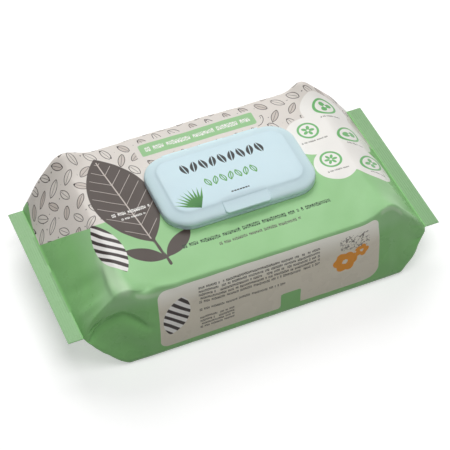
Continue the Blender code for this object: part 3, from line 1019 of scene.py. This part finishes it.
def leaf_row(shader, x, y, start, foot, pitch, count, height, width, filled):
    """Mask of a row of small leaves that lean to and fro, in millimetres on the lid."""
    size, minus, times, inside = shader.size, shader.minus, shader.times, shader.inside
    run = times(minus(x, start), 1 / pitch)
    lean = minus(shader.math("MODULO", shader.math("FLOOR", run), 2.0), 0.5)
    up = times(minus(y, foot + height / 2), 2 / height)
    aside = times(minus(shader.fraction(run), 0.5), pitch)
    aside = size(minus(aside, times(lean, times(up, LEAF_LEAN))))
    edge = minus(aside, times(minus(1.0, times(up, up)), width / 2))
    within = inside(size(minus(run, count / 2)), count / 2, 0.01)
    rib = inside(aside, LEAF_RIB, 0.1)
    if filled:
        line = minus(1.0, rib)
    else:
        outline = inside(size(shader.math("ADD", edge, LEAF_LINE)), LEAF_LINE, 0.1)
        line = shader.math("MAXIMUM", outline, rib)
    return times(within, times(line, inside(edge, 0.0, 0.1)))


def bar_mask(shader, x, y):
    centre, (half_length, half_height), pitch = BAR
    bar = shader.inside(shader.size(shader.minus(x, centre[0])), half_length, 0.05)
    high = shader.inside(shader.size(shader.minus(y, centre[1])), half_height, 0.06)
    stroke = shader.over(shader.fraction(shader.times(x, pitch)), BAR_GAP)
    return shader.times(shader.times(bar, high), stroke)


def fan_mask(shader, x, y):
    """Mask of a fan of pointed blades, and the distance from its middle."""
    size, minus, times = shader.size, shader.minus, shader.times
    dx, dy = minus(x, FAN_CENTRE[0]), minus(y, FAN_CENTRE[1])
    away = shader.math("SQRT", shader.math("ADD", times(dx, dx), times(dy, dy)))
    share = times(shader.math("ARCTAN2", dy, dx), 1 / FAN_STEP)
    aside = size(minus(shader.fraction(share), 0.5))
    aside = times(times(aside, FAN_STEP), away)
    half = times(minus(FAN_REACH, away), FAN_TAPER)
    blades = shader.inside(size(minus(share, FAN_SPAN[0])), FAN_SPAN[1], 0.02)
    return times(shader.inside(minus(aside, half), 0.0, 0.08), blades), away


def lid_material():
    shader, colour = plastic("printed pale blue plastic")
    paint, times = shader.paint, shader.times
    spot = shader.split(shader.place())
    x, y = (times(spot[i], 1 / MM) for i in (0, 1))
    side = shader.ramp(spot[2], *((LID_TOP - depth) * MM for depth in LIT_SIDE_DEPTHS))
    # Painted light: a paler blue on the lid's sloping sides
    colour = plain = paint(colour, LID_SIDE_PAINTED_LIGHT, side)
    colour = paint(colour, LID_INK, leaf_row(shader, x, y, *DARK_ROW))
    colour = paint(colour, LEAF_GREEN, leaf_row(shader, x, y, *GREEN_ROW))
    colour = paint(colour, LID_INK, bar_mask(shader, x, y))
    fan, away = fan_mask(shader, x, y)
    colour = paint(colour, paint(FAN_GREEN, LEAF_GREEN, times(away, 1 / FAN_REACH)), fan)
    top = shader.over(spot[2], (LID_TOP - PRINT_DEPTH) * MM)
    return shader.finish(base_color=paint(plain, colour, top))


# The lid's outer side and its inner side, as (inset from the outline, height over the rim)
LID_SIDE = (
    (0.2, 0.0), (0.0, 0.2), (0.0, 0.9), (0.15, 1.5), (0.6, 2.15), (1.3, 2.7), (2.3, 3.2),
    (3.5, 3.7), (4.8, 4.15), (5.9, 4.5), (6.4, 4.75), (6.8, 5.0), (7.5, 5.18),
)
LID_INSIDE = ((1.1, 0.0), (1.1, 1.0), (1.6, 1.9), (2.6, 2.6), (3.9, 3.1), (5.2, 3.6), (6.1, 4.3))
SHOULDER_INSET, SHOULDER_HEIGHT = LID_SIDE[-1]
CROWN_REACH = 13.0  # the crown rises over this much more inset
CROWN_STEPS = 8
TAB_DROP = 0.04  # of the tab's top under the lid's shoulder
TAB_THINNED = 0.5  # less thickness than in the part's source
TAB_SLOPE = 0.22  # millimetres down for each towards its front edge
TAB_SOFTNESS = 0.55
STRAP_CORNER, STRAP_SOFTNESS = 0.4, 0.2


def rounded_loop(length, width, corner, z, centre, corner_steps=14):
    """Points round a level rectangle with round corners."""
    points = []
    for quarter, (sx, sy) in enumerate(((1, 1), (-1, 1), (-1, -1), (1, -1))):
        mid = (centre[0] + sx * (length / 2 - corner), centre[1] + sy * (width / 2 - corner))
        for step in range(corner_steps + 1):
            angle = math.pi / 2 * (quarter + step / corner_steps)
            points.append((mid[0] + corner * math.cos(angle), mid[1] + corner * math.sin(angle), z))
    return points


def lid_loop(inset, z, shape=None):
    length, width, corner = shape or (LID_LENGTH, LID_WIDTH, LID_CORNER)
    corner = max(corner - inset, corner / 4)
    return rounded_loop(length - 2 * inset, width - 2 * inset, corner, z, LID_CENTRE)


def skin(loops, points, faces):
    """Adds a closed body through loops of equally many points."""
    faces.extend(tube_faces(len(loops), len(loops[0]), len(points)))
    for loop in loops:
        points.extend(loop)


def soft_slab(low, high, corner, softness, points, faces):
    """A rounded block between two corners, its upper and lower edges softened."""
    centre = ((low[0] + high[0]) / 2, (low[1] + high[1]) / 2)
    loops = []
    for bottom, steps in ((True, range(5)), (False, range(4, -1, -1))):
        for step in steps:
            angle = math.pi / 2 * step / 4
            inset = softness * (1 - math.sin(angle))
            rise = softness * (1 - math.cos(angle))
            z = low[2] + rise if bottom else high[2] - rise
            length, width = (high[i] - low[i] - 2 * inset for i in (0, 1))
            loops.append(rounded_loop(length, width, max(corner - inset, 0.1), z, centre, 6))
    skin(loops, points, faces)


def add_tab(points, faces):
    root = LID_FRONT + SHOULDER_INSET
    top = RIM_Z + SHOULDER_HEIGHT - TAB_DROP
    low = (LID_CENTRE[0] - TAB_WIDTH / 2, LID_FRONT - TAB_PROUD, top - TAB_THICKNESS + TAB_THINNED)
    high = (LID_CENTRE[0] + TAB_WIDTH / 2, root + 2, top)
    start = len(points)
    soft_slab(low, high, TAB_CORNER, TAB_SOFTNESS, points, faces)
    for i in range(start, len(points)):
        x, y, z = points[i]
        points[i] = (x, y, z - TAB_SLOPE * max(root - y, 0))


def add_straps(points, faces):
    pitch = (HINGE_SPAN - STRAP_WIDTH) / (STRAP_COUNT - 1)
    for i in range(STRAP_COUNT):
        mid = LID_CENTRE[0] + (i - (STRAP_COUNT - 1) / 2) * pitch
        low = (mid - STRAP_WIDTH / 2, LID_BACK - LID_WALL / 2, RIM_Z + FIT / 2)
        high = (mid + STRAP_WIDTH / 2, LID_BACK + HINGE_REACH, RIM_Z + FIT / 2 + STRAP_THICKNESS)
        soft_slab(low, high, STRAP_CORNER, STRAP_SOFTNESS, points, faces)


def make_lid():
    """The flip lid with its wide soft border, sealing skirt, thumb tab and hinge straps."""
    shoulder = RIM_Z + SHOULDER_HEIGHT
    crown = []
    for share in np.linspace(1, 0, CROWN_STEPS + 1)[:-1]:
        z = shoulder + (LID_TOP - RIM_Z - SHOULDER_HEIGHT) * ease(share, 2)
        crown.append(lid_loop(SHOULDER_INSET + share * CROWN_REACH, z))
    outside = [lid_loop(inset, RIM_Z + height) for inset, height in LID_SIDE[::-1]]
    inside = [lid_loop(inset, RIM_Z + height) for inset, height in LID_INSIDE]
    ceiling, foot = RIM_Z + LID_INSIDE[-1][1], BASE_TOP + FIT
    skirt_in = COLLAR_WALL + SKIRT_FIT
    skirt_out = skirt_in + SKIRT_WALL
    corners = ((skirt_out, ceiling), (skirt_out, foot), (skirt_in, foot), (skirt_in, ceiling))
    skirt = [lid_loop(-grow, z, OPENING) for grow, z in corners]
    points, faces = [], []
    skin([*crown, *outside, *inside, *skirt], points, faces)
    add_tab(points, faces)
    add_straps(points, faces)
    lid = mesh_object("moulded_lid", points, faces, smooth_degrees=32)
    face_outwards(lid)
    lid.data.materials.append(lid_material())
    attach(lid, "lid")
    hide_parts("flip_lid")


def wipe_material():
    shader = Shader("wet nonwoven", roughness=0.62, sheen_weight=0.2)
    place = shader.place()
    cells = shader.add("ShaderNodeTexVoronoi", {"Vector": place, "Scale": 420.0})
    wander = shader.between(shader.noise(place, 30.0, 2.0), -6 * MM, 6 * MM)
    fold = shader.minus(shader.split(place)[1], (LID_CENTRE[1] - 2) * MM)
    fold = shader.size(shader.times(shader.math("ADD", fold, wander), 1 / MM))
    normal = shader.bump(shader.inside(fold, 1.5, 1.5), 0.0012, 0.8)
    normal = shader.bump(shader.noise(place, 90.0, 3.0), 0.0016, 0.5, normal)
    normal = shader.bump(cells.outputs["Distance"], 0.0004, 0.7, normal)
    normal = shader.bump(shader.noise(place, 2500.0, 3.0), 0.0001, 0.5, normal)
    colour = shader.paint(WIPE_WHITE, WIPE_SHADE, shader.noise(place, 120.0, 3.0))
    # Painted shade along the wipe's fold
    colour = shader.paint(colour, FOLD_PAINTED_SHADE, shader.inside(fold, 0.35, 0.35))
    return shader.finish(base_color=colour, normal=normal)


def bond_material():
    shader = Shader("hot melt", roughness=0.4)
    place = shader.place()
    colour = shader.paint(MELT_LIGHT, MELT_DARK, shader.noise(place, 150.0))
    normal = shader.bump(shader.noise(place, 400.0), 0.0003, 0.4)
    return shader.finish(base_color=colour, normal=normal)


def dress_node(name, material):
    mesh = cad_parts[name].data
    mesh.materials.clear()
    mesh.materials.append(material)


FLOOR_HALF = 4000.0
FLOOR_GREY = (0.72, 0.72, 0.72)
FLOOR_GLOW = 0.5  # only in rays that show the background
WORLD_LIGHT = 0.09  # in all other rays

# Softboxes: name, place, size and power
LIGHT_TARGET = (0, 0, 30)
LIGHTS = (
    ("softbox above and behind", (150, 700, 900), (900, 700), 7.6),
    ("softbox above", (0, -240, 850), (500, 500), 3.2),
)


def background_ray(tree):
    """1 for rays that show the background: the camera's, and those off or through pieces."""
    path = tree.nodes.new("ShaderNodeLightPath").outputs
    seen = path["Is Camera Ray"]
    for kind in ("Is Glossy Ray", "Is Transmission Ray"):
        either = tree.nodes.new("ShaderNodeMath")
        either.operation = "MAXIMUM"
        tree.links.new(seen, either.inputs[0])
        tree.links.new(path[kind], either.inputs[1])
        seen = either.outputs[0]
    return seen


def make_stage():
    half = FLOOR_HALF
    points = [(-half, -half, 0), (half, -half, 0), (half, half, 0), (-half, half, 0)]
    floor = mesh_object("floor", points, [(0, 1, 2, 3)])
    shader = Shader("pale floor", base_color=FLOOR_GREY, roughness=0.9, specular_ior_level=0.0)
    glow = shader.times(background_ray(shader.tree), FLOOR_GLOW)
    shader.finish(emission_color=(1.0, 1.0, 1.0), emission_strength=glow)
    floor.data.materials.append(shader.material)

    world = bpy.data.worlds.new("studio")
    world.use_nodes = True
    tree = world.node_tree
    background = tree.nodes["Background"]
    background.inputs["Color"].default_value = (1, 1, 1, 1)
    mix = tree.nodes.new("ShaderNodeMapRange")
    mix.inputs["To Min"].default_value = WORLD_LIGHT
    tree.links.new(background_ray(tree), mix.inputs["Value"])
    tree.links.new(mix.outputs["Result"], background.inputs["Strength"])
    bpy.context.scene.world = world


def make_lights():
    for name, place, size, power in LIGHTS:
        data = bpy.data.lights.new(name, "AREA")
        data.shape = "RECTANGLE"
        data.size, data.size_y = size[0] * MM, size[1] * MM
        data.energy = power
        light = bpy.data.objects.new(name, data)
        bpy.context.scene.collection.objects.link(light)
        light.location = Vector(place) * MM
        aim = Vector(LIGHT_TARGET) - Vector(place)
        light.rotation_euler = aim.to_track_quat("-Z", "Y").to_euler()


def main():
    make_camera()
    make_stage()
    make_lights()
    make_pouch()
    make_lid()
    dress_node("lid_base", base_material())
    dress_node("wipes_stack", wipe_material())
    dress_node("bond_ring", bond_material())
    bpy.context.scene.view_settings.view_transform = "Standard"


main()
